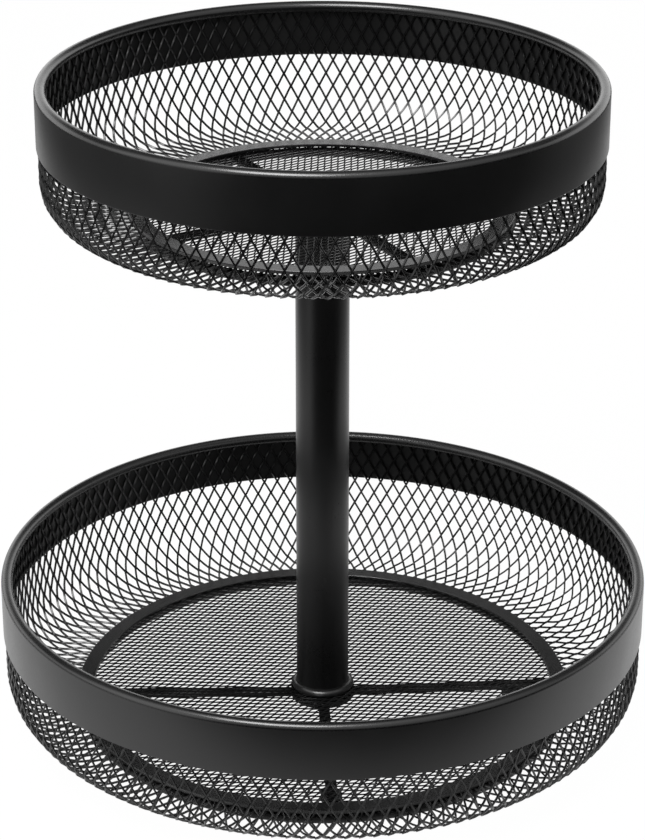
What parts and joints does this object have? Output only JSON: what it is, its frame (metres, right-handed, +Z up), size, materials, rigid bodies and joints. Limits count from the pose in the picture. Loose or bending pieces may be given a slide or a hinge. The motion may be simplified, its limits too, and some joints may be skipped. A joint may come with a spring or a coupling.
{
  "type": "tiered turntable basket",
  "caption": "Round tiered organiser: black expanded-metal trays with steel rims on a centre post, turning together on a low cross-shaped base with rubber feet.",
  "frame": {"origin": "on the table, under the middle of the post", "axes": "+Z up along the post, -Y towards the picture's viewer, +X to the viewer's right"},
  "size_m": [0.27, 0.27, 0.2786],
  "materials": {
    "black_coat": "satin black powder coat on steel",
    "black_rubber": "soft matt black rubber",
    "black_nylon": "moulded black nylon",
    "plated_steel": "bright zinc plate"
  },
  "bodies": {
    "base": {"base_ring": "black_coat", "base_cross": "black_coat", "rubber_feet": "black_rubber", "glides": "black_nylon", "pivot_pin": "plated_steel", "thrust_washer": "black_nylon", "pin_clip": "plated_steel"},
    "carousel": {"hub_plate": "black_coat", "post_tube": "black_coat", "post_collar": "black_coat", "pivot_bush": "black_nylon", "post_insert": "plated_steel", "lower_rim_wire": "black_coat", "lower_rim_band": "black_coat", "lower_wall_mesh": "black_coat", "lower_floor_ring": "black_coat", "lower_floor_mesh": "black_coat", "upper_rim_wire": "black_coat", "upper_rim_band": "black_coat", "upper_wall_mesh": "black_coat", "upper_floor_ring": "black_coat", "upper_floor_mesh": "black_coat", "upper_ring": "black_coat", "upper_cross": "black_coat", "top_washer": "black_coat", "top_screw": "black_coat"}
  },
  "joints": [
    {"name": "turntable_spin", "type": "hinge", "parent": "base", "child": "carousel", "pos_m": [0, 0, 0.00825], "axis": [0, 0, 1], "continuous": true}
  ]
}
